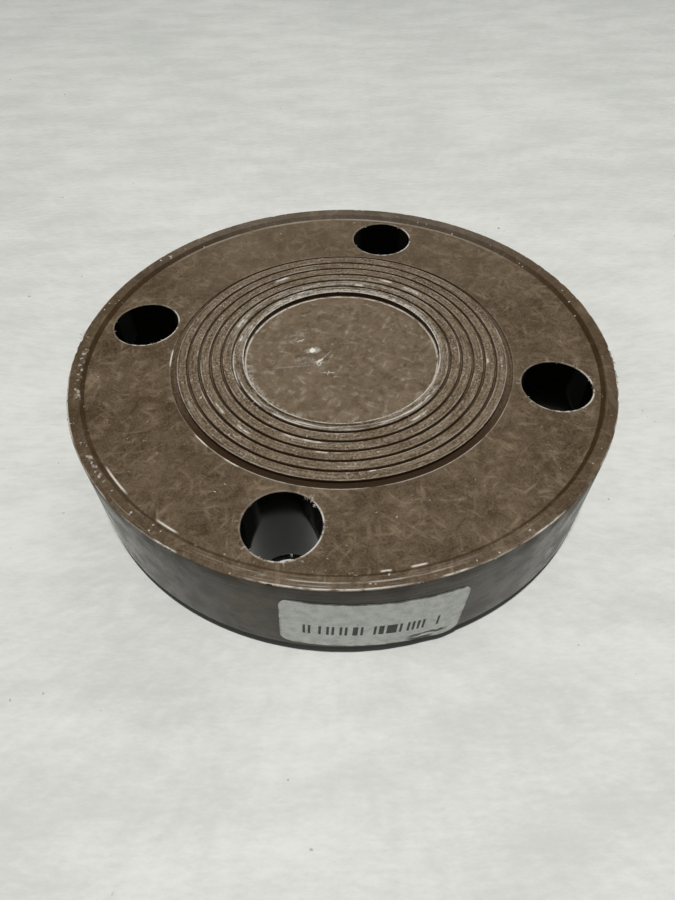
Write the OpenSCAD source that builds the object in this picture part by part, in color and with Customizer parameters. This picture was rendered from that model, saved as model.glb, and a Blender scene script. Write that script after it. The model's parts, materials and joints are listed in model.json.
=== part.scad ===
/* [Flange plate] */
// Outside diameter across the rim
flange_d = 152.4; // [140:0.1:180]
// Diameter of the side wall at its lower edge, a little less because the wall is drafted
wall_foot_d = 151.6; // [139:0.1:180]
// Thickness where the bolts pass, from the nut side to the outer flat
bolting_t = 28.575; // [16:0.025:50]
// Chamfer on the plate's outer edges
edge_chamfer = 0.3; // [0.1:0.05:1]

/* [Back boss] */
// Diameter of the flat boss that the flange stands on
boss_d = 82.55; // [50:0.05:88]
// Height of the boss below the nut side
boss_h = 3.175; // [1:0.025:8]
// Chamfer on the boss's edge
boss_chamfer = 0.8; // [0.2:0.1:0.9]

/* [Bolt holes] */
// Bolt circle diameter
bolt_circle_d = 120.65; // [118:0.05:130]
// Number of bolt holes
bolt_count = 4; // [4:4:8]
// Diameter of each bolt hole
bolt_hole_d = 19.05; // [12:0.05:20]

/* [Gasket face] */
// Height of the serrated ring above the outer flat
land_rise = 0.8; // [0.4:0.05:3]
// Inner diameter of the serrated ring, which is also the recess diameter
recess_d = 55.8; // [40:0.1:58]
// Outer diameter of the serrated ring
land_d = 93.2; // [92:0.1:95]
// Depth of the central recess below the top of the ring
recess_depth = 1.75; // [0.5:0.05:4]
// Number of gasket grooves
groove_count = 5; // [1:1:5]
// Radius of the innermost gasket groove
groove_first_r = 30.95; // [30:0.05:31.5]
// Distance from one gasket groove to the next
groove_pitch = 3.175; // [2:0.025:3.5]
// Width of a gasket groove at its mouth
groove_w = 0.9; // [0.4:0.05:1.5]
// Width of a gasket groove at its bottom
groove_floor_w = 0.3; // [0.1:0.05:0.4]
// Depth of a gasket groove
groove_depth = 0.7; // [0.3:0.05:1.5]
// Outer diameter of the shallow relief around the ring
relief_d = 97; // [96:0.1:100]
// Depth of that relief below the outer flat
relief_depth = 0.3; // [0.1:0.05:1]

/* [Rim] */
// Height of the raised rim above the outer flat
rim_rise = 1.2; // [0.5:0.05:3]
// Diameter where the rim's sloping inner side meets the outer flat
rim_foot_d = 143.6; // [142:0.1:144]
// Width of the sloping inner side, seen from above
rim_slope_w = 1.1; // [0.2:0.1:1.5]

/* [Label] */
// Length of the label along the wall
label_w = 44.45; // [20:0.05:60]
// Height of the label
label_h = 21.8; // [10:0.1:22]
// Corner radius of the label
label_corner_r = 3.2; // [0.5:0.1:5]
// Thickness of the label
label_t = 0.15; // [0.1:0.01:0.4]
// Direction of the label's middle, anticlockwise from +X
label_angle = 243.9; // [0:0.1:359]
// Height of the label's middle above the foot of the boss
label_z = 15.2; // [15:0.1:18]
// How far the label is turned clockwise from level
label_tilt = 3.2; // [0:0.1:4]

/* [Hidden] */
$fn = 180;

flange_r = flange_d / 2;
wall_foot_r = wall_foot_d / 2;
boss_r = boss_d / 2;
recess_r = recess_d / 2;
land_r = land_d / 2;
relief_r = relief_d / 2;
rim_foot_r = rim_foot_d / 2;

flat_z = boss_h + bolting_t;
land_z = flat_z + land_rise;
rim_z = flat_z + rim_rise;
recess_z = land_z - recess_depth;
relief_z = flat_z - relief_depth;
groove_z = land_z - groove_depth;

bolt_angle = 180 / bolt_count;
cut_past = 1;

// Radius of the drafted side wall at height z
function wall_r(z) = wall_foot_r + (flange_r - wall_foot_r) * (z - boss_h) / (rim_z - boss_h);

// One gasket groove of the section, as its four corners from the outside in
function groove(r) = [
    [r + groove_w / 2, land_z],
    [r + groove_floor_w / 2, groove_z],
    [r - groove_floor_w / 2, groove_z],
    [r - groove_w / 2, land_z]
];

// Half section of the plate: up the boss and the side wall, then in across the face
function plate_section() = [
    [0, 0],
    [boss_r - boss_chamfer, 0],
    [boss_r, boss_chamfer],
    [boss_r, boss_h],
    [wall_foot_r - edge_chamfer, boss_h],
    [wall_r(boss_h + edge_chamfer), boss_h + edge_chamfer],
    [wall_r(rim_z - edge_chamfer), rim_z - edge_chamfer],
    [flange_r - edge_chamfer, rim_z],
    [rim_foot_r + rim_slope_w, rim_z],
    [rim_foot_r, flat_z],
    [relief_r, flat_z],
    [relief_r, relief_z],
    [land_r, relief_z],
    [land_r, land_z],
    for (i = [groove_count - 1:-1:0]) each groove(groove_first_r + i * groove_pitch),
    [recess_r, land_z],
    [recess_r, recess_z],
    [0, recess_z]
];

// Puts its child at each bolt position, with the holes straddling the X and Y axes
module at_bolts() {
    for (i = [0:bolt_count - 1])
        rotate(bolt_angle + i * 360 / bolt_count)
            translate([bolt_circle_d / 2, 0, 0])
                children();
}

// Flat outline of the label, with round corners
module label_outline(w, h, r) {
    square([w - 2 * r, h], center = true);
    square([w, h - 2 * r], center = true);
    for (x = [-1, 1], y = [-1, 1])
        translate([x * (w / 2 - r), y * (h / 2 - r)])
            circle(r);
}

// The moulded disc, with its bolt holes drilled through
module flange_disc() {
    color([0.37, 0.32, 0.26])
        difference() {
            rotate_extrude()
                polygon(plate_section());
            at_bolts()
                translate([0, 0, -cut_past])
                    cylinder(h = rim_z + 2 * cut_past, d = bolt_hole_d);
        }
}

// The adhesive label, wrapped on the side wall
module label() {
    mid_r = wall_r(label_z);
    chord = 2 * mid_r * sin(label_w / mid_r * 90 / PI);
    low_z = boss_h + edge_chamfer;
    top_z = rim_z - edge_chamfer;
    color([0.56, 0.57, 0.54])
        intersection() {
            rotate_extrude()
                polygon([
                    [wall_r(low_z), low_z],
                    [wall_r(low_z) + label_t, low_z],
                    [wall_r(top_z) + label_t, top_z],
                    [wall_r(top_z), top_z]
                ]);
            rotate(label_angle)
                translate([mid_r / 2, 0, label_z])
                    rotate([90, 0, 90])
                        rotate(-label_tilt)
                            linear_extrude(mid_r)
                                label_outline(chord, label_h, label_corner_r);
        }
}

flange_disc();
label();
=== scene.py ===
"""A moulded glass-fibre blind flange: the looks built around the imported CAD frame.

Lengths in this script are in millimetres until mesh() and the placing calls turn them into metres.
"""

import json
import math

import bpy
import numpy as np
from mathutils import Matrix, Vector


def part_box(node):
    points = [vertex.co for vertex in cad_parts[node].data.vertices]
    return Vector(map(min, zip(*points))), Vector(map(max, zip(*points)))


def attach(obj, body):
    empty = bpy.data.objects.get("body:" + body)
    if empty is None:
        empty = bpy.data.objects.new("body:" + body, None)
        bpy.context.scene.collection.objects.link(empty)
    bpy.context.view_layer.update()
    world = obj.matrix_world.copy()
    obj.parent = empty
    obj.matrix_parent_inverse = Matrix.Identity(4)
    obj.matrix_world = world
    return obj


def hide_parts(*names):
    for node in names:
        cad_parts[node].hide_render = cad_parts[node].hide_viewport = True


MM = 0.001
SEED = 7

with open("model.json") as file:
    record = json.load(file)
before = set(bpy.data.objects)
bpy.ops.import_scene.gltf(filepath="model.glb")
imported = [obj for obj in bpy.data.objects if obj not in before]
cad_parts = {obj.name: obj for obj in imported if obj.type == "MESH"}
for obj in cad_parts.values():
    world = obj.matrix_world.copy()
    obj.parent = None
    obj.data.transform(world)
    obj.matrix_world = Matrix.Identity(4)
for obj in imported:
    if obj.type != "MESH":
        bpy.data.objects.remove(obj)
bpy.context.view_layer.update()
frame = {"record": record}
mounts = {m["name"]: m for m in frame["record"]["mounts"]}

# Driving dimensions, from the frame
disc_low, disc_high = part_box("flange_disc")
RIM_R = (disc_high[0] - disc_low[0]) / 2 / MM
RIM_Z = disc_high[2] / MM
FLAT_Z = mounts["bolt_circle"]["pos_m"][2] / MM
LAND_Z = mounts["gasket_face"]["pos_m"][2] / MM
NUT_Z = mounts["nut_face"]["pos_m"][2] / MM
BOLT_R = mounts["bolt_circle"]["dims"]["pcd_mm"] / 2
HOLE_R = mounts["bolt_circle"]["dims"]["hole_r_mm"]
HOLE_COUNT = mounts["bolt_circle"]["dims"]["count"]

# The rest of the section, as in the CAD model
WALL_FOOT_R = 75.8
BOSS_R = 41.275
RECESS_R = 27.9
RECESS_Z = LAND_Z - 1.75
LAND_R = 46.6
RELIEF_R = 48.5
RELIEF_Z = FLAT_Z - 0.3
RIM_FOOT_R = 71.8
RIM_SLOPE_W = 1.1
GROOVE_FIRST_R = 30.95
GROOVE_PITCH = 3.175
GROOVE_COUNT = 5
GROOVE_W = 0.9
GROOVE_FLOOR_W = 0.3
GROOVE_Z = LAND_Z - 0.7

# The height of the wall's lowest part, which has the back's dull finish
FOOT_BAND = 0.5

# How far the two lines turned in the wall are below the outer flat
WALL_LINES = (4.0, 0.75)

# The step in the rim's top, which is this much lower on its inner side
RIM_STEP = 0.04

# How finely the disc and its drills are divided round their axes
DISC_SIDES = 720
DRILL_SIDES = 160

# Rounded corners up to this radius are one flat chamfer
SMALL_ROUND = 0.09

# Chips in the rim's outer edge: how many small ones, and each large one's direction and depth
SMALL_CHIPS = 55
LARGE_CHIPS = ((144, 0.30), (148, 0.20), (313, 0.30), (317, 0.35), (322, 0.30), (328, 0.25))

# The label on the wall
LABEL_W = 44.45
LABEL_H = 21.8
LABEL_CORNER = 3.2
LABEL_ANGLE = math.radians(243.9)
LABEL_Z = 15.2
LABEL_TILT = math.radians(3.2)
LABEL_T = 0.13
LABEL_GAP = 0.02
LABEL_LIFT = 0.32

# The row of bars on the label: the width of one cell, and the row's place and size
BAR_CELL = 0.62
BARS_BELOW = 2.6
BARS_HALF_W = 16.9
BARS_HALF_H = 2.35

# The glossy strip of each bolt hole's wall: its direction from the hole's axis, and how far along
# that the strip begins, as a share of the hole's radius. The direction is straight away from the
# scene's camera. The strip stands in for one reflection, and isn't known to be on the real part.
POLISHED = Vector((0.52, 0.85))
POLISHED_FROM = 0.22

# Direction of the backdrop paper's wrinkles, and half the floor's width
PAPER_GRAIN = math.radians(-30)
FLOOR_HALF = 1500

# The camera, around the middle of the outer flat
CAMERA_AZIMUTH = math.radians(-31.47)
CAMERA_ELEVATION = math.radians(41.41)
CAMERA_DISTANCE = 190.43
CAMERA_LENS = 26.27
CAMERA_YAW = math.radians(0.336)
CAMERA_PITCH = math.radians(-8.382)
CAMERA_ROLL = math.radians(-0.561)

SKY_COLOUR = (1.0, 0.99, 0.965, 1)
SKY_STRENGTH = 0.13


# ---------------------------------------------------------------- shader arithmetic


class Signal:
    """A shader socket. Python arithmetic on it adds Math nodes to its tree."""

    def __init__(self, tree, socket):
        self.tree = tree
        self.socket = socket

    def _math(self, operation, *others, clamp=False):
        node = self.tree.nodes.new("ShaderNodeMath")
        node.operation = operation
        node.use_clamp = clamp
        for slot, value in zip(node.inputs, (self,) + others):
            plug(self.tree, slot, value)
        return Signal(self.tree, node.outputs[0])

    def __add__(self, other):
        return self._math("ADD", other)

    def __radd__(self, other):
        return self._math("ADD", other)

    def __sub__(self, other):
        return self._math("SUBTRACT", other)

    def __rsub__(self, other):
        return (self * -1.0) + other

    def __mul__(self, other):
        return self._math("MULTIPLY", other)

    def __truediv__(self, other):
        return self._math("DIVIDE", other)

    def __pow__(self, other):
        return self._math("POWER", other)

    def abs(self):
        return self._math("ABSOLUTE")

    def floor(self):
        return self._math("FLOOR")

    def less(self, other):
        return self._math("LESS_THAN", other)

    def most(self, other):
        return self._math("MAXIMUM", other)

    def clamp(self):
        return self._math("ADD", 0.0, clamp=True)

    def step(self, low, high):
        """0 up to low and 1 from high, smooth between; high may be the lower of the two."""
        node = self.tree.nodes.new("ShaderNodeMapRange")
        node.interpolation_type = "SMOOTHSTEP"
        plug(self.tree, node.inputs["Value"], self)
        if low <= high:
            limits = (low, high, 0.0, 1.0)
        else:
            limits = (high, low, 1.0, 0.0)
        for slot, value in zip(("From Min", "From Max", "To Min", "To Max"), limits):
            node.inputs[slot].default_value = value
        return Signal(self.tree, node.outputs["Result"])

    def ring(self, centre, half_width):
        """1 at centre, falling smoothly to 0 at half_width from it."""
        return (self - centre).abs().step(half_width, 0.0)


def plug(tree, slot, value):
    """Links a signal to a socket, or sets the socket's own value."""
    if isinstance(value, Signal):
        tree.links.new(value.socket, slot)
    else:
        slot.default_value = value


class Shader:
    """One material's node tree, with the textures that this part's materials are made of."""

    def __init__(self, name):
        self.material = bpy.data.materials.new(name)
        self.material.use_nodes = True
        self.tree = self.material.node_tree
        self.tree.nodes.clear()
        self.out = self.tree.nodes.new("ShaderNodeOutputMaterial")
        self.bsdf = self.tree.nodes.new("ShaderNodeBsdfPrincipled")
        self.tree.links.new(self.bsdf.outputs[0], self.out.inputs["Surface"])
        coord = self.tree.nodes.new("ShaderNodeTexCoord")
        to_mm = self.tree.nodes.new("ShaderNodeVectorMath")
        to_mm.operation = "SCALE"
        to_mm.inputs["Scale"].default_value = 1 / MM
        self.tree.links.new(coord.outputs["Object"], to_mm.inputs[0])
        self.place = Signal(self.tree, to_mm.outputs[0])
        self.x, self.y, self.z = self.split(self.place)
        self.r = (self.x * self.x + self.y * self.y) ** 0.5

    def signal(self, node, output):
        return Signal(self.tree, node.outputs[output])

    def split(self, vector):
        node = self.tree.nodes.new("ShaderNodeSeparateXYZ")
        plug(self.tree, node.inputs[0], vector)
        return [self.signal(node, k) for k in range(3)]

    def vector(self, x, y, z):
        node = self.tree.nodes.new("ShaderNodeCombineXYZ")
        for slot, value in zip(node.inputs, (x, y, z)):
            plug(self.tree, slot, value)
        return self.signal(node, 0)

    def scaled(self, vector, x, y, z):
        node = self.tree.nodes.new("ShaderNodeVectorMath")
        node.operation = "MULTIPLY"
        plug(self.tree, node.inputs[0], vector)
        node.inputs[1].default_value = (x, y, z)
        return self.signal(node, 0)

    def moved(self, vector, other):
        node = self.tree.nodes.new("ShaderNodeVectorMath")
        node.operation = "ADD"
        plug(self.tree, node.inputs[0], vector)
        plug(self.tree, node.inputs[1], other)
        return self.signal(node, 0)

    def polar(self, along, across):
        """Seamless coordinates round the axis.

        along is cells per mm at the rim, and across is cells per mm of radius.
        """
        turn = along * RIM_R
        return self.vector(self.x / self.r * turn, self.y / self.r * turn, self.r * across)

    def noise(self, vector, scale=1.0, detail=2.0, rough=0.5, warp=0.0):
        node = self.tree.nodes.new("ShaderNodeTexNoise")
        plug(self.tree, node.inputs["Vector"], vector)
        node.inputs["Scale"].default_value = scale
        node.inputs["Detail"].default_value = detail
        node.inputs["Roughness"].default_value = rough
        node.inputs["Distortion"].default_value = warp
        return self.signal(node, "Fac")

    def noise_vector(self, vector, scale, size):
        """A vector that wanders up to about size either way."""
        node = self.tree.nodes.new("ShaderNodeTexNoise")
        plug(self.tree, node.inputs["Vector"], vector)
        node.inputs["Scale"].default_value = scale
        node.inputs["Detail"].default_value = 2.0
        centre = self.moved(self.signal(node, "Color"), (-0.5, -0.5, -0.5))
        return self.scaled(centre, size, size, size)

    def turned(self, vector, turn, periods, shift):
        """Coordinates turned about Z, with a period for each of their axes."""
        node = self.tree.nodes.new("ShaderNodeMapping")
        node.vector_type = "TEXTURE"
        plug(self.tree, node.inputs["Vector"], vector)
        node.inputs["Location"].default_value = (shift, shift, shift)
        node.inputs["Rotation"].default_value = (0.0, 0.0, turn)
        node.inputs["Scale"].default_value = periods
        return self.signal(node, 0)

    def strands(self, ways, long, wide, first_turn=0.3):
        """Chopped bundles of parallel fibre that lie several ways: 0 to 1."""
        bent = self.moved(self.place, self.noise_vector(self.place, 0.08, 2.2))
        total = None
        for k in range(ways):
            turn = first_turn + math.pi * k / ways
            shift = 19.0 * (k + 1) + 7.0 * wide
            fibre = self.turned(bent, turn, (long, wide * 0.30, 3.0), shift)
            bundle = self.turned(bent, turn, (long, wide, 3.0), -shift)
            lines = self.noise(fibre, detail=1.0, rough=0.6).step(0.32, 0.68)
            patch = self.noise(bundle, detail=1.0, rough=0.5).step(0.53, 0.74)
            one = patch * (lines * 0.55 + 0.45)
            total = one if total is None else total.most(one)
        return total

    def arc(self, degrees, half):
        """1 towards one direction from the axis, falling to 0 half degrees either side of it."""
        turn = math.radians(degrees)
        facing = (self.x * math.cos(turn) + self.y * math.sin(turn)) / self.r
        return facing.step(math.cos(math.radians(half)), math.cos(math.radians(half * 0.4)))

    def arcs(self, marks):
        """Several arcs at once, each given as its direction and half width in degrees."""
        total = self.arc(*marks[0])
        for mark in marks[1:]:
            total = total.most(self.arc(*mark))
        return total

    def ring_mark(self, degrees, half, r, width):
        """A mark along part of one ring round the axis."""
        return self.arc(degrees, half) * self.r.ring(r, width)

    def stroke(self, spot, x, y, long, wide, degrees):
        """A soft mark of the given half length and half width, lying at an angle.

        spot is the pair of coordinates that the mark is drawn in.
        """
        turn = math.radians(degrees)
        dx = spot[0] - x
        dy = spot[1] - y
        u = (dx * math.cos(turn) + dy * math.sin(turn)) / long
        v = (dy * math.cos(turn) - dx * math.sin(turn)) / wide
        return (u * u + v * v).step(1.0, 0.15)

    def mix(self, factor, low, high):
        """A colour between two colours."""
        node = self.tree.nodes.new("ShaderNodeMix")
        node.data_type = "RGBA"
        plug(self.tree, node.inputs["Factor"], factor)
        for slot, value in ((node.inputs[6], low), (node.inputs[7], high)):
            if isinstance(value, tuple):
                value = value + (1.0,)
            plug(self.tree, slot, value)
        return self.signal(node, 2)

    def bump(self, height, depth, under=None):
        """A normal from a height signal; depth is in mm."""
        node = self.tree.nodes.new("ShaderNodeBump")
        node.inputs["Strength"].default_value = 1.0
        node.inputs["Distance"].default_value = depth * MM
        plug(self.tree, node.inputs["Height"], height)
        if under is not None:
            plug(self.tree, node.inputs["Normal"], under)
        return self.signal(node, 0)

    def finish(self, colour, roughness, normal, specular=0.5):
        """Puts the signals on the surface; specular is set on its own socket."""
        plug(self.tree, self.bsdf.inputs["Base Color"], colour)
        plug(self.tree, self.bsdf.inputs["Roughness"], roughness)
        plug(self.tree, self.bsdf.inputs["Normal"], normal)
        self.bsdf.inputs["Specular IOR Level"].default_value = specular
        return self.material


# ---------------------------------------------------------------- mesh helpers


def mesh(name, points, faces):
    """An object from points in mm."""
    data = bpy.data.meshes.new(name)
    data.from_pydata([tuple(p * MM for p in point) for point in points], [], faces)
    data.validate()
    piece = bpy.data.objects.new(name, data)
    bpy.context.collection.objects.link(piece)
    return piece


def smooth(piece, angle=32):
    """Smooth shading, with edges sharper than the angle left sharp."""
    piece.data.shade_smooth()
    piece.data.set_sharp_from_angle(angle=math.radians(angle))


def wall_r(z):
    """Radius of the drafted wall at a height."""
    return WALL_FOOT_R + (RIM_R - WALL_FOOT_R) * (z - NUT_Z) / (RIM_Z - NUT_Z)


def rounded(corners, support):
    """An open outline with its corners rounded; each corner is (r, z, radius).

    A plain point has radius 0. A support point stands just outside each round.
    """
    outline = []
    for k, (r, z, radius) in enumerate(corners):
        steps = 2 if radius > SMALL_ROUND else 1
        here = np.array([r, z])
        if radius == 0:
            outline.append(here)
            continue
        back = np.array(corners[k - 1][:2]) - here
        on = np.array(corners[k + 1][:2]) - here
        back /= np.linalg.norm(back)
        on /= np.linalg.norm(on)
        half = math.acos(np.clip(back @ on, -1, 1)) / 2
        reach = radius / math.tan(half)
        middle = here + (back + on) / np.linalg.norm(back + on) * radius / math.sin(half)
        first = here + back * reach - middle
        last = here + on * reach - middle
        outline.append(here + back * (reach + support))
        for step in range(steps + 1):
            mid = first * (1 - step / steps) + last * (step / steps)
            outline.append(middle + mid / np.linalg.norm(mid) * radius)
        outline.append(here + on * (reach + support))
    return np.array(outline)


def wander(rng, angles, waves, size):
    """A smooth closed random line round the axis, about -size to size."""
    total = np.zeros_like(angles)
    for count in waves:
        phase = rng.uniform(0, 2 * math.pi)
        total += np.sin(angles * count + phase) * rng.uniform(0.5, 1.0)
    return total * size / math.sqrt(len(waves))


# ---------------------------------------------------------------- the disc


def disc_section():
    """Half section of the disc, from the foot's centre round to the recess's centre."""
    corners = [(0, 0, 0), (BOSS_R, 0, 0.8), (BOSS_R, NUT_Z, 0.6)]
    corners += [(WALL_FOOT_R, NUT_Z, 0.35), (wall_r(NUT_Z + FOOT_BAND), NUT_Z + FOOT_BAND, 0)]
    for below in WALL_LINES:
        z = FLAT_Z - below
        for up, depth in ((-0.5, 0), (-0.4, 0), (0, 0.05), (0.3, 0), (0.4, 0)):
            corners += [(wall_r(z + up) - depth, z + up, 0)]
    corners += [(RIM_R, RIM_Z, 0.3)]
    for inset, drop in ((1.5, 0), (1.55, 0), (1.65, RIM_STEP), (1.7, RIM_STEP)):
        corners += [(RIM_R - inset, RIM_Z - drop, 0)]
    corners += [(RIM_FOOT_R + RIM_SLOPE_W, RIM_Z - RIM_STEP, 0.15), (RIM_FOOT_R, FLAT_Z, 0.15)]
    corners += [(RELIEF_R, FLAT_Z, 0.08), (RELIEF_R - 0.1, RELIEF_Z, 0.1)]
    corners += [(LAND_R + 0.1, RELIEF_Z, 0.1), (LAND_R, LAND_Z, 0.12)]
    for k in reversed(range(GROOVE_COUNT)):
        r = GROOVE_FIRST_R + k * GROOVE_PITCH
        corners += [(r + GROOVE_W / 2, LAND_Z, 0.08), (r + GROOVE_FLOOR_W / 2, GROOVE_Z, 0)]
        corners += [(r - GROOVE_FLOOR_W / 2, GROOVE_Z, 0), (r - GROOVE_W / 2, LAND_Z, 0.08)]
    corners += [(RECESS_R, LAND_Z, 0.12), (RECESS_R, RECESS_Z, 0.15), (0, RECESS_Z, 0)]
    return rounded(corners, support=0.06)


def hole_centres():
    """The bolt holes' axes, anticlockwise from the one between +X and +Y."""
    centres = []
    for k in range(HOLE_COUNT):
        turn = 2 * math.pi * (k + 0.5) / HOLE_COUNT
        centres.append((BOLT_R * math.cos(turn), BOLT_R * math.sin(turn)))
    return centres


def turn_from(angles, direction):
    """How far each angle is turned from one direction, from -pi to pi."""
    return (angles - direction + math.pi) % (2 * math.pi) - math.pi


def make_disc(count=DISC_SIDES):
    """The section turned round the axis, chipped along the rim, with its holes drilled."""
    section = disc_section()
    rng = np.random.default_rng(SEED)
    angles = np.arange(count) * 2 * math.pi / count
    points = [(0, 0, section[0][1])]
    rings = section[1:-1]
    r = np.repeat(rings[:, 0][:, None], count, axis=1)
    z = np.repeat(rings[:, 1][:, None], count, axis=1)

    # Chips and a ragged line along the rim's outer edge
    edge = np.exp(-(((r - RIM_R) / 0.6) ** 2) - ((z - RIM_Z) / 0.6) ** 2)
    bite = np.abs(wander(rng, angles, (61, 97, 143, 211, 307), 0.03))
    for _ in range(SMALL_CHIPS):
        where = rng.uniform(0, 2 * math.pi)
        width = rng.uniform(0.35, 0.9) / RIM_R
        depth = rng.uniform(0.03, 0.16)
        gap = turn_from(angles, where)
        bite = bite + depth * np.exp(-((gap / width) ** 2))
    for degrees, depth in LARGE_CHIPS:
        gap = turn_from(angles, math.radians(degrees))
        bite = bite + depth * np.exp(-((gap * RIM_R / 0.7) ** 2))
    r = r - edge * bite * 0.8
    z = z - edge * bite

    # The face's lips wander a little, as cut fibre does
    for at_r, at_z in ((RECESS_R, LAND_Z), (RELIEF_R, FLAT_Z), (LAND_R, LAND_Z)):
        lip = np.exp(-(((r - at_r) / 0.25) ** 2) - ((z - at_z) / 0.25) ** 2)
        r = r + lip * wander(rng, angles, (37, 71, 118, 190, 260), 0.05)

    x = r * np.cos(angles)
    y = r * np.sin(angles)
    for ring in range(len(rings)):
        points += list(zip(x[ring], y[ring], z[ring]))
    points.append((0, 0, section[-1][1]))
    last = len(points) - 1

    faces = []
    for k in range(count):
        n = (k + 1) % count
        faces.append((0, 1 + n, 1 + k))
        for ring in range(len(rings) - 1):
            a = 1 + ring * count
            b = a + count
            faces.append((a + k, a + n, b + n, b + k))
        a = 1 + (len(rings) - 1) * count
        faces.append((a + k, a + n, last))
    piece = mesh("disc_body", points, faces)

    cutters = [make_cutter(rng, centre) for centre in hole_centres()]
    for cutter in cutters:
        cut = piece.modifiers.new("hole", "BOOLEAN")
        cut.operation = "DIFFERENCE"
        cut.solver = "EXACT"
        cut.object = cutter
    carved = bpy.data.meshes.new_from_object(
        piece.evaluated_get(bpy.context.evaluated_depsgraph_get())
    )
    piece.modifiers.clear()
    piece.data = carved
    for cutter in cutters:
        bpy.data.objects.remove(cutter)
    smooth(piece)
    return piece


def make_cutter(rng, centre, count=DRILL_SIDES):
    """A drill: the hole's wall, with a fine broken edge where it comes out at each face."""
    angles = np.arange(count) * 2 * math.pi / count
    ragged = np.abs(wander(rng, angles, (5, 9, 14, 23, 37), 0.06))
    rings = []
    for z, flare in (
        (NUT_Z - 2.0, 0.5),
        (NUT_Z - 0.05, 0.5),
        (NUT_Z + 0.2, 0.0),
        (FLAT_Z - 0.15, 0.0),
        (FLAT_Z + 0.05, 0.14),
        (FLAT_Z + 3.0, 0.14),
    ):
        rings.append((z, HOLE_R + flare + ragged * (flare > 0)))
    points = []
    for z, radius in rings:
        points += list(
            zip(
                centre[0] + radius * np.cos(angles),
                centre[1] + radius * np.sin(angles),
                np.full(count, z),
            )
        )
    faces = [tuple(reversed(range(count)))]
    for ring in range(len(rings) - 1):
        a = ring * count
        for k in range(count):
            n = (k + 1) % count
            faces.append((a + k, a + n, a + count + n, a + count + k))
    faces.append(tuple(range((len(rings) - 1) * count, len(rings) * count)))
    return mesh("drill", points, faces)


def paint_disc(piece, surfaces):
    """Gives each face of the disc the material of its surface."""
    names = list(surfaces)
    for name in names:
        piece.data.materials.append(surfaces[name])
    holes = hole_centres()
    for polygon in piece.data.polygons:
        x, y, z = (c / MM for c in polygon.center)
        radius = math.hypot(x, y)
        hole = min(holes, key=lambda h: math.hypot(x - h[0], y - h[1]))
        off = Vector((x - hole[0], y - hole[1]))
        if off.length < HOLE_R + 0.02 and abs(polygon.normal.z) < 0.3:
            polished = off.dot(POLISHED) > POLISHED_FROM * HOLE_R
            surface = "bore" if polished else "dull_bore"
        elif radius > RIM_R - 1.2 and NUT_Z + FOOT_BAND < z < RIM_Z - 0.35:
            surface = "side"
        elif z < FLAT_Z - 4:
            surface = "back"
        elif radius < RECESS_R - 0.01:
            surface = "recess"
        elif radius < RELIEF_R - 0.02:
            surface = "gasket"
        elif radius < RIM_FOOT_R:
            surface = "flat"
        else:
            surface = "rim"
        polygon.material_index = names.index(surface)


# ---------------------------------------------------------------- the label


def make_label(columns=110, rows=56):
    """A thin sheet on the wall, with round corners and one corner that has lifted."""
    points = []
    uvs = []
    for layer in (0, 1):
        for j in range(rows + 1):
            t = (j / rows - 0.5) * LABEL_H
            over = max(0.0, abs(t) - (LABEL_H / 2 - LABEL_CORNER))
            inset = LABEL_CORNER - math.sqrt(max(0.0, LABEL_CORNER**2 - over**2))
            half = LABEL_W / 2 - inset
            for i in range(columns + 1):
                s = (i / columns * 2 - 1) * half
                s2 = s * math.cos(LABEL_TILT) + t * math.sin(LABEL_TILT)
                t2 = t * math.cos(LABEL_TILT) - s * math.sin(LABEL_TILT)
                z = LABEL_Z + t2
                corner = math.hypot(s - LABEL_W / 2 + 4, t + LABEL_H / 2 - 1.5)
                lift = LABEL_LIFT * math.exp(-((corner / 3.2) ** 2))
                ripple = 0.02 * math.sin(s * 0.9 + t * 0.4) * math.sin(t * 0.7)
                off = LABEL_GAP + (LABEL_T + ripple if layer else 0.0)
                off = off + lift * (1 if layer else 0.6)
                radius = wall_r(max(z, NUT_Z + 0.35)) + off
                turn = LABEL_ANGLE + s2 / wall_r(LABEL_Z)
                points.append((radius * math.cos(turn), radius * math.sin(turn), z))
                uvs.append((s, t))
    per = (columns + 1) * (rows + 1)
    faces = []
    for j in range(rows):
        for i in range(columns):
            a = j * (columns + 1) + i
            b = a + columns + 1
            faces.append((per + a, per + a + 1, per + b + 1, per + b))
            faces.append((a, b, b + 1, a + 1))
    border = list(range(columns + 1))
    border += [j * (columns + 1) + columns for j in range(1, rows + 1)]
    border += [rows * (columns + 1) + i for i in reversed(range(columns))]
    border += [j * (columns + 1) for j in reversed(range(1, rows))]
    for a, b in zip(border, border[1:] + border[:1]):
        faces.append((a, b, per + b, per + a))
    piece = mesh("label_sheet", points, faces)
    layer = piece.data.uv_layers.new(name="print_mm")
    for loop in piece.data.loops:
        layer.data[loop.index].uv = uvs[loop.vertex_index]
    smooth(piece, 50)
    return piece


# ---------------------------------------------------------------- loose fibres


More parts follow.
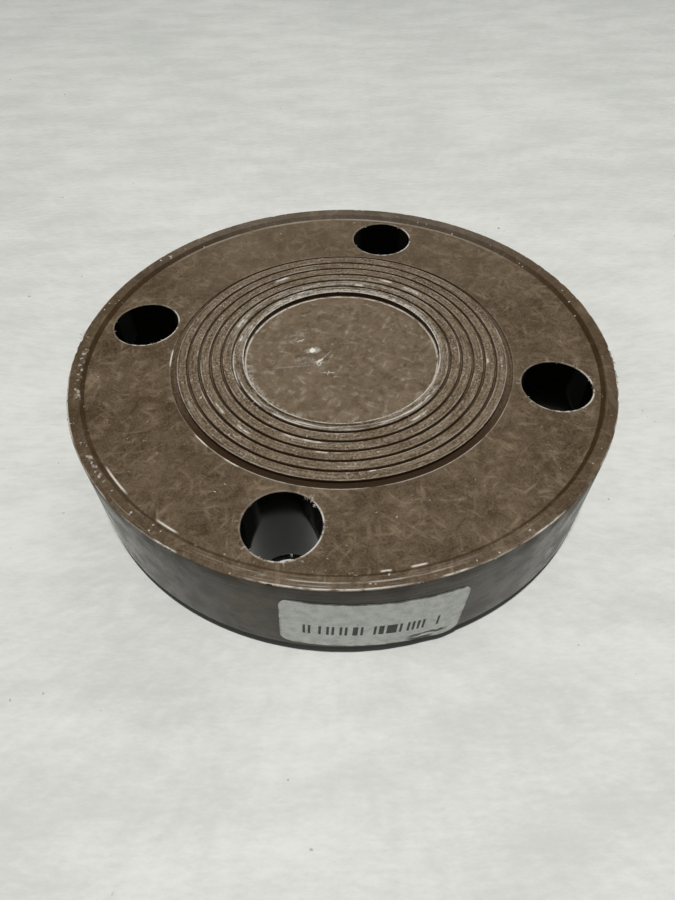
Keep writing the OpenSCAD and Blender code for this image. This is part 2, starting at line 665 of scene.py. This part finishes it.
def strand(rng, root, heading, length, radius, sag=0.06):
    """Points and faces of one thin tapering fibre that bends and sags a little."""
    steps = 7
    sides = 5
    here = np.array(root, float)
    heading = np.array(heading, float)
    bend = rng.normal(0, 0.22, 3) * (1, 1, sag > 0)
    points = []
    for k in range(steps + 1):
        heading = heading / np.linalg.norm(heading)
        side = np.cross(heading, (0.31, 0.17, 0.93))
        side /= np.linalg.norm(side)
        up = np.cross(side, heading)
        thick = radius * (1 - 0.75 * k / steps)
        for turn in np.arange(sides) * 2 * math.pi / sides:
            points.append(here + thick * (side * math.cos(turn) + up * math.sin(turn)))
        here = here + heading * length / steps
        heading = heading + bend + np.array((0, 0, -sag))
    faces = [tuple(range(sides))]
    for k in range(steps):
        for a in range(sides):
            b = (a + 1) % sides
            faces.append((k * sides + b, k * sides + a, (k + 1) * sides + a, (k + 1) * sides + b))
    faces.append(tuple(steps * sides + a for a in reversed(range(sides))))
    return points, faces


def make_fibres():
    """Frayed fibre ends that stand out of the rim's edge and the bolt holes' edges."""
    rng = np.random.default_rng(SEED + 1)
    points = []
    faces = []

    def add(one):
        """Joins one fibre to the mesh."""
        more, rings = one
        faces.extend(tuple(len(points) + i for i in ring) for ring in rings)
        points.extend(more)

    def tuft(centre, degrees, radius, z, lean, count, longest):
        """Fibres rooted on a circle round centre; lean is how far they point out, and down."""
        for _ in range(count):
            turn = math.radians(degrees + rng.uniform(-3, 3))
            out = np.array((math.cos(turn), math.sin(turn), 0.0))
            root = np.array((*centre, z + rng.uniform(-0.1, 0.05))) + out * (radius - 0.05)
            along = np.array((-out[1], out[0], 0.0)) * rng.normal(0, 0.6)
            heading = out * lean[0] + along + np.array((0, 0, lean[1]))
            length = longest * rng.uniform(0.45, 1.0)
            add(strand(rng, root, heading, length, rng.uniform(0.07, 0.13)))

    def burr(start, end, radius, z, count, longest):
        """Fibres that lie along part of a ring of the face."""
        for _ in range(count):
            turn = math.radians(rng.uniform(start, end))
            out = np.array((math.cos(turn), math.sin(turn), 0.0))
            along = np.array((-out[1], out[0], 0.0)) * rng.choice((-1.0, 1.0))
            root = out * (radius + rng.normal(0, 0.16)) + np.array((0, 0, z + 0.03))
            heading = along + out * rng.normal(0.05, 0.12)
            length = longest * rng.uniform(0.3, 1.0)
            add(strand(rng, root, heading, length, rng.uniform(0.05, 0.09), 0.0))

    edge_z = RIM_Z - 0.3
    for degrees, count, longest in ((144, 7, 1.7), (318, 4, 1.1), (327, 5, 1.1), (171, 2, 0.8)):
        tuft((0, 0), degrees, RIM_R, edge_z, (1.0, 0.25), count, longest)
    for degrees, count in ((20, 2), (207, 2), (262, 1), (80, 2), (112, 1)):
        tuft((0, 0), degrees, RIM_R, edge_z, (1.0, 0.3), count, 0.5)
    holes = hole_centres()
    front = holes[2]
    tuft(front, 25, HOLE_R, FLAT_Z - 0.15, (-0.5, -0.9), 3, 1.6)
    tuft(front, 4, HOLE_R, FLAT_Z - 0.15, (-0.8, -0.5), 5, 1.0)
    tuft(front, 14, HOLE_R, FLAT_Z - 0.15, (-0.8, -0.4), 3, 0.6)
    tuft(front, 58, HOLE_R, NUT_Z + 0.15, (-0.6, -0.8), 4, 1.2)
    for hole in holes:
        for _ in range(5):
            tuft(hole, rng.uniform(0, 360), HOLE_R, FLAT_Z - 0.1, (-0.9, -0.4), 1, 0.6)
    for start, end, radius, count, longest in (
        (245, 300, 28.3, 14, 3.2),
        (262, 300, 29.7, 10, 3.2),
        (147, 215, 30.3, 18, 3.0),
        (175, 215, 28.0, 8, 3.0),
        (-30, 130, 28.2, 20, 1.8),
        (60, 125, 29.2, 10, 1.6),
    ):
        burr(start, end, radius, LAND_Z, count, longest)
    burr(150, 200, 26.8, RECESS_Z, 10, 1.2)
    piece = mesh("loose_fibres", points, faces)
    smooth(piece, 60)
    return piece


# ---------------------------------------------------------------- materials


# Some terms below depend on the direction round the axis, and stand in for light: the shade of the
# gasket ring's grooves, the tints of the flat and the rim, the wall's roughness and the glossy
# strips of the bolt holes. They are fixed to the part, and were chosen for the scene's camera.

PALE = (0.50, 0.46, 0.39)
WHITE = (0.68, 0.65, 0.58)


def brown_resin(s):
    """The machined resin: grained dark brown with soft patches and a few wisps of pale fibre."""
    wisps = s.strands(4, 6.0, 1.7) * s.noise(s.place, 0.16).step(0.38, 0.60)
    cloud = s.noise(s.place, 0.05, 3.0, 0.55)
    patch = s.noise(s.place, 0.24, 4.0, 0.6, warp=1.2)
    grain = s.noise(s.place, 1.7, 3.0, 0.85)
    tone = cloud * 0.8 + patch * 1.0 + grain * 1.35 + wisps * 0.60 - 1.20
    tone = tone.clamp()
    return tone, s.mix(tone, (0.046, 0.026, 0.0105), (0.196, 0.147, 0.097))


def worn_finish(s, tone, colour, wear, turned, pale=PALE):
    """Adds the wear to a resin colour, with the roughness and relief of both."""
    wear = wear.clamp()
    colour = s.mix(wear, colour, pale)
    normal = s.bump(tone, 0.05)
    normal = s.bump(s.noise(s.polar(0.05, 14.0), 1.0, 2.0, 0.5), 0.03 * turned, normal)
    normal = s.bump(wear, 0.10, normal)
    return s.finish(colour, 0.56 + tone * 0.10 + wear * 0.25, normal, 0.14)


def recess_material():
    """The recess: its turned floor with a few knocks, and its dark wall."""
    s = Shader("resin_recess")
    tone, brown = brown_resin(s)
    fuzz = s.noise(s.polar(0.12, 1.3), 1.0, 4.0, 0.75)
    blotch = s.noise(s.place, 0.35, 4.0, 0.65, warp=0.8)
    colour = s.mix(blotch.step(0.32, 0.60) * 0.38 + 0.18, brown, (0.212, 0.162, 0.110))
    scuffs = s.strands(2, 5.0, 2.2, first_turn=0.55) * blotch.step(0.40, 0.60)
    colour = s.mix(scuffs * 0.34, colour, PALE)

    # The recess's wall is nearly black, in place of its own shade
    wall = s.z.step(RECESS_Z + 0.1, RECESS_Z + 0.3)
    colour = s.mix(wall * 0.95, colour, (0.007, 0.004, 0.002))

    sill = s.r.ring(RECESS_R - 0.38, 0.46) * fuzz.step(0.38, 0.52) * (s.arc(75, 75) * 0.3 + 0.7)
    ragged = s.noise(s.place, 0.9, 4.0, 0.7).step(0.46, 0.64)
    inner = s.r.step(RECESS_R - 3.0, RECESS_R - 0.6) * ragged * s.arc(176, 42)
    colour = s.mix(sill.most(inner * 0.50) * (1.0 - wall), colour, WHITE)
    marks = recess_scratches(s, ragged) * (1.0 - wall)
    colour = s.mix(marks, colour, (0.90, 0.92, 0.86))
    return worn_finish(s, tone, colour, marks * 0.3, 0.4)


def recess_scratches(s, ragged):
    """A white knock, a loop, a cross and a few scratches on the recess floor."""
    bent = s.moved(s.place, s.noise_vector(s.place, 1.1, 1.3))
    spot = s.split(bent)[:2]
    crumbs = s.noise(s.place, 2.4, 3.0, 0.7).step(0.40, 0.56)
    marks = s.stroke(spot, -5.9, 6.6, 1.25, 1.0, 25)
    halo = s.stroke(spot, -5.7, 6.3, 2.9, 1.5, -22) * crumbs * 0.45
    marks = marks.most(halo)
    dx = spot[0] + 7.2
    dy = spot[1] - 0.6
    loop = ((dx * dx * 1.5 + dy * dy) ** 0.5).ring(0.70, 0.30)
    marks = marks.most(loop * (crumbs * 0.5 + 0.3))
    for x, y, long, wide, degrees, strength in (
        (-6.5, 12.1, 1.7, 0.36, -2, 0.40),
        (-6.2, 1.6, 1.9, 0.36, 14, 0.75),
        (-7.0, 1.2, 2.6, 0.26, -32, 0.35),
        (-3.0, 2.7, 2.6, 0.32, 20, 0.16),
        (-6.8, -4.1, 2.3, 0.24, -31, 0.42),
        (-6.9, -4.1, 1.2, 0.28, 52, 0.45),
        (-5.8, -6.6, 1.0, 0.26, -20, 0.22),
        (-14.5, 3.6, 7.0, 0.40, -26, 0.09),
    ):
        marks = marks.most(s.stroke(spot, x, y, long, wide, degrees) * strength)
    smears = s.stroke(spot, -4.5, 15.0, 5.5, 1.6, -8)
    smears = smears.most(s.stroke(spot, -9.5, 3.2, 5.0, 2.6, -31))
    return marks.most(smears * ragged * 0.12)


def gasket_material():
    """The serrated ring: worn lands, with its grooves and the relief round them darkened by painted
    shade.
    """
    s = Shader("resin_gasket_ring")
    fuzz = s.noise(s.polar(0.10, 1.3), 1.0, 4.0, 0.75)
    fine = s.noise(s.polar(0.22, 2.2), 1.0, 4.0, 0.80)
    broken = s.noise(s.polar(0.06, 0.7), 1.0, 4.0, 0.75)
    grain = s.noise(s.place, 1.5, 3.0, 0.85)
    streak = s.noise(s.polar(0.05, 2.2), 1.0, 3.0, 0.7)
    tone = (grain * 0.42 + fine * 0.26 + streak * 0.32).step(0.37, 0.62)
    colour = s.mix(tone, (0.054, 0.031, 0.013), (0.254, 0.198, 0.138))
    # Painted shade: the grooves and the relief are darkened, more towards two opposite sides of the
    # axis.
    low = s.z.step(LAND_Z - 0.05, LAND_Z - 0.30)
    shade = s.arcs(((58, 86), (238, 86))) * 0.48 + 0.48
    colour = s.mix(low * shade, colour, (0.026, 0.0110, 0.0020))
    edge = s.r.ring(LAND_R - 0.45, 0.32) * 0.45
    line = s.r.ring(RECESS_R + 0.72, 0.66) * s.arcs(((190, 45), (230, 42)))
    line = line * broken.step(0.34, 0.44)
    line = line.most(edge)
    wear = land_wear(s, broken, fuzz).most(gasket_wear(s, fuzz, fine, streak)) * (1.0 - low)
    wear = wear * (1.0 - line)
    colour = s.mix(line * 0.9, colour, (0.020, 0.011, 0.005))
    burr = s.ring_mark(196, 36, 30.25, 0.34).most(s.ring_mark(156, 20, 30.8, 0.40))
    wear = wear.most(burr * broken.step(0.34, 0.50))
    return worn_finish(s, tone, colour, wear, 1.0, WHITE)


def gasket_wear(s, fuzz, fine, streak):
    """Pale worn marks on the serrated ring."""
    streaks = streak.step(0.47, 0.60)
    marks = s.ring_mark(125, 4.5, 32.4, 1.5)
    for degrees, half, r, width in (
        (48, 3, 31.7, 0.9),
        (137, 3, 29.8, 0.7),
        (183, 4, 39.2, 0.5),
        (198, 4, 39.1, 0.6),
        (231, 3, 38.0, 0.6),
        (87, 4, 39.4, 0.9),
        (20, 6, 35.7, 1.0),
        (35, 4, 36.2, 0.8),
        (277, 6, 32.7, 0.5),
        (248, 1.5, 44.2, 0.6),
        (322, 1.5, 41.3, 0.6),
        (222, 11, 34.8, 0.6),
        (280, 22, 29.75, 0.5),
    ):
        marks = marks.most(s.ring_mark(degrees, half, r, width))
    marks = marks * fine.step(0.36, 0.54)
    lip = s.r.ring(RECESS_R + 0.10, 0.38) * fuzz.step(0.34, 0.48)
    inner = s.r.ring(RECESS_R + 0.8, 0.9) * fine.step(0.36, 0.60) * (s.arc(50, 85) * 0.65 + 0.20)
    front = s.r.ring(RECESS_R + 1.9, 1.1) * streaks * s.arcs(((285, 45), (240, 60))) * 0.85
    back = s.r.step(RECESS_R + 9.0, RECESS_R + 2.5) * streaks * fine.step(0.36, 0.56)
    back = back * s.arc(70, 85) * 0.85
    return marks.most(lip).most(inner).most(front).most(back)


def land_wear(s, broken, fuzz):
    """Speckle over the lands, and thin pale lines along the edges of the grooves."""
    turns = ((s.r - GROOVE_FIRST_R) / GROOVE_PITCH + 0.5).floor()
    from_groove = (s.r - GROOVE_FIRST_R - turns * GROOVE_PITCH).abs()
    lines = from_groove.ring(GROOVE_W / 2 + 0.16, 0.26) * broken.step(0.48, 0.64) * 0.45
    fray = s.noise(s.place, 1.5, 2.0, 0.6).step(0.58, 0.72)
    fray = fray * s.noise(s.place, 0.13).step(0.40, 0.60)
    dots = s.noise(s.place, 0.8, 1.0).step(0.71, 0.78)
    outer = s.r.ring(LAND_R - 0.10, 0.26) * broken.step(0.35, 0.60) * 0.45
    wear = lines.most(fray * 0.50).most(dots * 0.6)
    return wear.most(fuzz.step(0.56, 0.74) * 0.40).most(outer)


def flat_material():
    """The outer flat, with broken edges round the bolt holes and at the relief and the rim."""
    s = Shader("resin_flat")
    tone, brown = brown_resin(s)
    fuzz = s.noise(s.polar(0.30, 1.3), 1.0, 3.0, 0.7)
    broken = s.noise(s.polar(0.09, 0.6), 1.0, 3.0, 0.65)
    foot = s.r.ring(RIM_FOOT_R - 0.40, 0.42) * s.arcs(((188, 5), (204, 3), (246, 1.2), (252, 1.8)))
    lip = s.r.ring(RELIEF_R + 0.16, 0.42) * s.arcs(((150, 5), (191, 4), (204, 3.5)))
    wear = foot.most(lip) * fuzz.step(0.25, 0.45)
    faint = s.r.ring(RELIEF_R + 0.12, 0.28) * (s.arc(245, 75) * 0.8 + 0.2)
    faint = faint * broken.step(0.30, 0.55)
    wear = wear.most(faint * 0.50).most(hole_wear(s, fuzz))
    wear = wear.most(s.r.ring(RIM_FOOT_R - 0.4, 0.9) * s.arc(60, 60) * broken.step(0.3, 0.6) * 0.3)
    specks = s.noise(s.place, 0.9, 2.0, 0.5).step(0.70, 0.78)
    wear = wear.most(specks * s.noise(s.place, 0.09).step(0.44, 0.62) * 0.6)
    # Painted light: the flat is lighter towards one side of the axis.
    brown = s.mix(s.arc(60, 75) * 0.25, brown, (0.180, 0.138, 0.094))
    return worn_finish(s, tone, brown, wear, 0.2, WHITE)


def from_hole(s):
    """How far a point is from the axis of the nearest bolt hole, along X and along Y."""
    middle = BOLT_R * math.cos(math.pi / HOLE_COUNT)
    dx = s.x - (s.x.less(0.0) * -2.0 + 1.0) * middle
    dy = s.y - (s.y.less(0.0) * -2.0 + 1.0) * middle
    return dx, dy


def hole_wear(s, fuzz):
    """A pale broken edge round each bolt hole, with short frayed ends outside it."""
    dx, dy = from_hole(s)
    d = (dx * dx + dy * dy) ** 0.5
    worn = ((dx * 0.34 - dy * 0.94) / d).step(-0.4, 0.7) * 0.80 + 0.16
    ragged = s.noise(s.vector(dx / d * 3.0, dy / d * 3.0, d * 0.6), detail=3.0, rough=0.7)
    edge = d.ring(HOLE_R + 0.18, 0.46) * ragged.step(0.36, 0.52) * worn
    spokes = s.noise(s.vector(dx / d * 9.0, dy / d * 9.0, d * 0.35), detail=2.0, rough=0.6)
    fray = spokes.step(0.58, 0.70) * d.step(HOLE_R + 2.4, HOLE_R + 0.5) * s.y.step(20, -20)
    return edge.most(fray * fuzz.step(0.3, 0.6) * 0.6)


def rim_material():
    """The rim: its inner slope darkened with painted shade, fine turned lines, and chips along its
    outer edge.
    """
    s = Shader("resin_rim")
    tone, brown = brown_resin(s)
    fuzz = s.noise(s.polar(0.30, 1.3), 1.0, 3.0, 0.7)
    broken = s.noise(s.polar(0.09, 0.6), 1.0, 3.0, 0.65)
    # Painted shade: darker towards two opposite sides of the axis.
    colour = s.mix(s.arcs(((150, 60), (330, 60))) * 0.40, brown, (0.066, 0.042, 0.020))
    # Painted light: lighter and greyer towards one side of the axis.
    colour = s.mix(s.arc(60, 70) * 0.40, colour, (0.125, 0.112, 0.094))
    # Painted shade on the inner slope, stronger towards two opposite sides of the axis.
    slope = (s.r + (broken - 0.5) * 0.5).step(RIM_FOOT_R + 1.15, RIM_FOOT_R + 0.85)
    shade = s.arcs(((125, 50), (315, 50))) * 0.40 + 0.28
    colour = s.mix(slope * shade, colour, (0.036, 0.018, 0.004))
    chips = s.arcs(((165, 12), (207, 3), (236, 16), (257, 3), (276, 4), (319, 4), (327, 2)))
    wear = s.r.ring(RIM_R - 0.22, 0.36) * chips * fuzz.step(0.36, 0.54) * 0.9
    wear = wear.most(s.r.ring(RIM_R - 0.14, 0.34) * broken.step(0.42, 0.60) * 0.50)
    blobs = s.noise(s.place, 0.75, 3.0).step(0.50, 0.68)
    spots = s.ring_mark(156, 12, 73.4, 1.3).most(s.ring_mark(181, 9, 73.9, 1.1))
    wear = wear.most(spots.step(0.1, 0.6) * blobs * 0.62)
    lines = s.ring_mark(240, 24, 74.35, 0.34).most(s.ring_mark(238, 18, 75.3, 0.26) * 0.6)
    wear = wear.most(lines * broken.step(0.40, 0.58) * 0.48)
    turned = s.noise(s.polar(0.03, 2.4), 1.0, 4.0, 0.7).step(0.56, 0.72) * (1.0 - slope)
    wear = wear.most(turned * (s.arc(240, 60) * 0.28 + 0.05))
    specks = s.noise(s.place, 0.8, 1.0).step(0.73, 0.79)
    wear = wear.most(specks * 0.7)
    return worn_finish(s, tone, colour, wear, 0.6, WHITE)


def back_material():
    """The moulded back, which no tool has cut: the same dark skin as the wall."""
    s = Shader("resin_back")
    cloud = s.noise(s.place, 0.08, 4.0, 0.6)
    fibre = s.strands(4, 7.0, 2.6)
    tone = cloud * 0.7 + fibre * 0.4
    colour = s.mix(tone.step(0.25, 0.80), (0.010, 0.0070, 0.0040), (0.036, 0.027, 0.018))
    return s.finish(colour, 0.50 + cloud * 0.2, s.bump(tone, 0.05), 0.08)


def side_material():
    """The moulded wall: glossy, with faint lines round it and darker towards the rim."""
    s = Shader("resin_side")
    streak = s.noise(s.vector(s.x * 0.05, s.y * 0.05, s.z * 0.7), 1.0, 4.0, 0.65)
    cloud = s.noise(s.scaled(s.place, 1.0, 1.0, 1.4), 0.09, 5.0, 0.65)
    tone = streak * 0.35 + cloud * 0.65
    colour = s.mix(tone.step(0.36, 0.64), (0.0130, 0.0080, 0.0008), (0.060, 0.041, 0.014))
    purple = s.noise(s.place, 0.07, 3.0).step(0.50, 0.62)
    colour = s.mix(purple * 0.55, colour, (0.040, 0.022, 0.016))
    top = s.z.step(RIM_Z - 6.5, RIM_Z - 0.5)
    colour = s.mix(top * 0.75, colour, (0.018, 0.0095, 0.0004))
    line = s.noise(s.vector(s.x * 0.02, s.y * 0.02, s.z * 2.4), 1.0, 2.0, 0.6).step(0.58, 0.72)
    colour = s.mix(line * 0.20, colour, (0.006, 0.005, 0.002))
    scratch = s.noise(s.vector(s.x * 0.5, s.y * 0.5, s.z * 5.0), 1.0, 3.0, 0.6).step(0.70, 0.80)
    colour = s.mix(scratch * 0.20, colour, (0.16, 0.14, 0.10))
    dull = s.noise(s.place, 0.16, 4.0, 0.6).step(0.36, 0.64)
    rough = 0.17 + dull * 0.16 + top * 0.16 + scratch * 0.2 + line * 0.06 + s.arc(328, 60) * 0.10
    normal = s.bump(streak, 0.02)
    normal = s.bump(s.noise(s.place, 0.22, 2.0), 0.06, normal)
    return s.finish(colour, rough, normal, 0.22)


def bore_material():
    """The glossy strip of each hole's wall, which is chosen for the scene's camera: see POLISHED."""
    s = Shader("resin_bore")
    dx, dy = from_hole(s)
    streak = s.noise(s.vector(s.x * 0.4, s.y * 0.4, s.z * 3.0), 1.0, 3.0, 0.6)
    colour = bore_colour(s, streak)
    facing = (dx * POLISHED.x + dy * POLISHED.y) / HOLE_R
    dull = (s.z - FLAT_Z + (1.0 - facing) * 11.0).step(-8.5, -5.5) * facing.step(0.82, 0.55)
    rough = 0.10 + dull * 0.82 + streak * 0.06
    return s.finish(colour, rough, s.bump(streak, 0.002), 0.22)


def bore_colour(s, streak):
    """Nearly black, in place of the holes' own shade, with pale flecks and a frayed lower end."""
    colour = s.mix(streak.step(0.3, 0.7), (0.0016, 0.0015, 0.0010), (0.0050, 0.0046, 0.0034))
    fleck = s.noise(s.place, 1.3, 2.0).step(0.74, 0.80)
    colour = s.mix(fleck * 0.35, colour, (0.12, 0.115, 0.10))
    end = s.z.step(NUT_Z + 0.55, NUT_Z + 0.25) * streak.step(0.35, 0.55)
    return s.mix(end * 0.7, colour, (0.26, 0.25, 0.22))


def dull_bore_material():
    """The rest of each hole's wall."""
    s = Shader("resin_bore_dull")
    streak = s.noise(s.vector(s.x * 0.4, s.y * 0.4, s.z * 3.0), 1.0, 3.0, 0.6)
    return s.finish(bore_colour(s, streak), 0.55 + streak * 0.2, s.bump(streak, 0.02), 0.02)


def label_material():
    """The label: grey film with grime, a row of bars, and a creased lower corner with painted shade
    and a painted highlight.
    """
    s = Shader("label_film")
    uv = s.tree.nodes.new("ShaderNodeUVMap")
    uv.uv_map = "print_mm"
    u, v, _ = s.split(Signal(s.tree, uv.outputs[0]))
    flat = s.vector(u, v, 0.0)
    grime = s.noise(flat, 0.30, 4.0, 0.65)
    fine = s.noise(flat, 2.6, 3.0, 0.6)
    weave = s.noise(s.vector(u * 0.5, v * 4.0, 0.0), 1.0, 2.0, 0.5)
    colour = s.mix(grime.step(0.3, 0.75), (0.76, 0.775, 0.735), (0.52, 0.545, 0.520))
    colour = s.mix(fine.step(0.48, 0.72) * 0.34, colour, (0.22, 0.23, 0.21))
    smut = s.noise(s.vector(u * 0.9, v * 0.25, 3.0), 1.0, 3.0, 0.6).step(0.60, 0.76)
    colour = s.mix(smut * 0.40, colour, (0.12, 0.12, 0.11))

    # A plain row of bars in place of any print
    cell = (u / BAR_CELL).floor()
    pick = s.tree.nodes.new("ShaderNodeTexWhiteNoise")
    pick.noise_dimensions = "1D"
    plug(s.tree, pick.inputs["W"], cell)
    bar = s.signal(pick, "Value").step(0.52, 0.53)
    row = (v + BARS_BELOW).abs().step(BARS_HALF_H, BARS_HALF_H - 0.2)
    row = row * u.abs().step(BARS_HALF_W, BARS_HALF_W - 0.3)
    ink = bar * row * fine.step(0.15, 0.4)
    colour = s.mix(ink * 0.92, colour, (0.022, 0.022, 0.020))

    # Dirt in the edges, and painted shade in the creases and a painted highlight where the lower
    # corner has lifted
    du = u.abs() - (LABEL_W / 2 - 0.7)
    dv = v.abs() - (LABEL_H / 2 - 0.7)
    rim = du.most(dv).step(0.0, 0.7)
    colour = s.mix(rim * grime.step(0.42, 0.58) * 0.6, colour, (0.14, 0.125, 0.10))
    bend = (grime - 0.5) * 3.0 + (fine - 0.5) * 1.0
    crease = (v + 8.4 - (u - 12.0) * 0.10 + bend).abs().step(0.80, 0.30)
    fold = (v + 10.1 + bend * 0.6).abs().step(0.9, 0.4) * u.step(16.5, 14.0)
    crease = crease.most(fold) * u.step(8.0, 10.0) * u.step(20.0, 17.0)
    # The creases are darkened with painted shade.
    colour = s.mix(crease * fine.step(0.30, 0.46) * 0.9, colour, (0.030, 0.028, 0.024))
    # A painted highlight along the lifted fold.
    painted_highlight = (v + 9.3 + bend * 0.8).abs().step(0.5, 0.2) * u.ring(12.6, 2.6)
    colour = s.mix(painted_highlight * 0.8, colour, (0.90, 0.91, 0.88))

    # A dark line painted along the upper edge
    shadow = (v + (grime - 0.5) * 0.8).step(LABEL_H / 2 - 0.50, LABEL_H / 2 - 0.20)
    colour = s.mix(shadow * 0.8, colour, (0.035, 0.032, 0.026))
    rough = 0.52 + grime * 0.2
    normal = s.bump(fine * 0.3 + grime * 0.5 + weave * 0.3, 0.05)
    return s.finish(colour, rough, normal, 0.18)


def fibre_material():
    """Bare glass fibre: whitish, with brown resin left on parts of it."""
    s = Shader("bare_fibre")
    grain = s.noise(s.place, 3.0, 2.0)
    stain = s.noise(s.place, 0.30, 1.0).step(0.42, 0.56) * 0.75 + grain * 0.25
    colour = s.mix(stain, (0.085, 0.070, 0.045), (0.72, 0.69, 0.62))
    return s.finish(colour, 0.55 + grain * 0.15, s.bump(grain, 0.02), 0.4)


def floor_material():
    """Plain pale paper, a little wrinkled, with a few specks."""
    s = Shader("backdrop_paper")
    cloud = s.noise(s.place, 0.010, 3.0, 0.55)
    level = s.turned(s.place, PAPER_GRAIN, (2.4, 1.0, 1.0), 0.0)
    crease = s.noise(level, 0.07, 5.0, 0.65)
    weave = s.noise(level, 0.55, 4.0, 0.75)
    tone = cloud * 0.30 + crease * 0.45 + weave * 0.35
    colour = s.mix(tone.step(0.40, 0.70), (0.620, 0.640, 0.612), (0.775, 0.790, 0.762))
    specks = s.noise(s.place, 0.42, 1.0).step(0.755, 0.785)
    specks = specks * s.noise(s.place, 0.02).step(0.48, 0.60)
    colour = s.mix(specks * 0.6, colour, (0.16, 0.16, 0.15))
    return s.finish(colour, 0.65, s.bump(crease, 0.6), 0.3)


# ---------------------------------------------------------------- stage


def make_floor():
    """The floor that the flange stands on."""
    half = FLOOR_HALF
    corners = [(-half, -half, 0), (half, -half, 0), (half, half, 0), (-half, half, 0)]
    floor = mesh("backdrop_floor", corners, [(0, 1, 2, 3)])
    floor.location.z = disc_low[2]
    floor.data.materials.append(floor_material())


def outward(azimuth, elevation):
    """The unit vector from the object towards a viewer."""
    level = math.cos(elevation)
    return Vector(
        (level * math.sin(azimuth), -level * math.cos(azimuth), math.sin(elevation))
    )


def make_camera():
    """The scene's camera, turned a little from looking straight at its target."""
    target = Vector((0, 0, FLAT_Z)) * MM
    away = outward(CAMERA_AZIMUTH, CAMERA_ELEVATION)
    aim = (-away).to_track_quat("-Z", "Y").to_matrix()
    turn = Matrix.Rotation(CAMERA_ROLL, 3, "Z") @ Matrix.Rotation(CAMERA_PITCH, 3, "X")
    turn = turn @ Matrix.Rotation(CAMERA_YAW, 3, "Y")
    camera = bpy.data.objects.new("camera", bpy.data.cameras.new("camera"))
    bpy.context.collection.objects.link(camera)
    place = Matrix.Translation(target + away * CAMERA_DISTANCE * MM)
    camera.matrix_world = place @ (aim @ turn).to_4x4()
    camera.data.lens = CAMERA_LENS
    camera.data.clip_start = 0.01
    bpy.context.scene.camera = camera


def make_area(name, azimuth, elevation, distance, size, power, colour):
    """A round lamp that faces the object; angles in degrees, lengths in metres, power in watts."""
    data = bpy.data.lights.new(name, "AREA")
    data.shape = "DISK"
    data.size = size
    data.energy = power
    data.color = colour
    light = bpy.data.objects.new(name, data)
    bpy.context.collection.objects.link(light)
    away = outward(math.radians(azimuth), math.radians(elevation))
    light.location = away * distance
    light.rotation_euler = (-away).to_track_quat("-Z", "Y").to_euler()


def make_lights():
    """A key light high in front, a broad fill light from behind and a weak even sky."""
    front = math.degrees(CAMERA_AZIMUTH)
    white = (1.0, 0.985, 0.96)
    make_area("key", front, elevation=82.3, distance=1.4, size=0.09, power=15.5, colour=white)
    white = (1.0, 0.99, 0.97)
    make_area("fill", front + 150, elevation=50, distance=1.8, size=1.2, power=2.5, colour=white)
    world = bpy.data.worlds.new("studio")
    world.use_nodes = True
    sky = world.node_tree.nodes["Background"]
    sky.inputs["Color"].default_value = SKY_COLOUR
    sky.inputs["Strength"].default_value = SKY_STRENGTH
    bpy.context.scene.world = world
    bpy.context.scene.view_settings.view_transform = "Standard"


# ---------------------------------------------------------------- assembly

make_camera()
make_floor()
make_lights()

disc = make_disc()
paint_disc(
    disc,
    {
        "recess": recess_material(),
        "gasket": gasket_material(),
        "flat": flat_material(),
        "rim": rim_material(),
        "side": side_material(),
        "bore": bore_material(),
        "dull_bore": dull_bore_material(),
        "back": back_material(),
    },
)
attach(disc, "root")
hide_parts("flange_disc")

label = make_label()
label.data.materials.append(label_material())
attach(label, "root")
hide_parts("label")

fibres = make_fibres()
fibres.data.materials.append(fibre_material())
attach(fibres, "root")
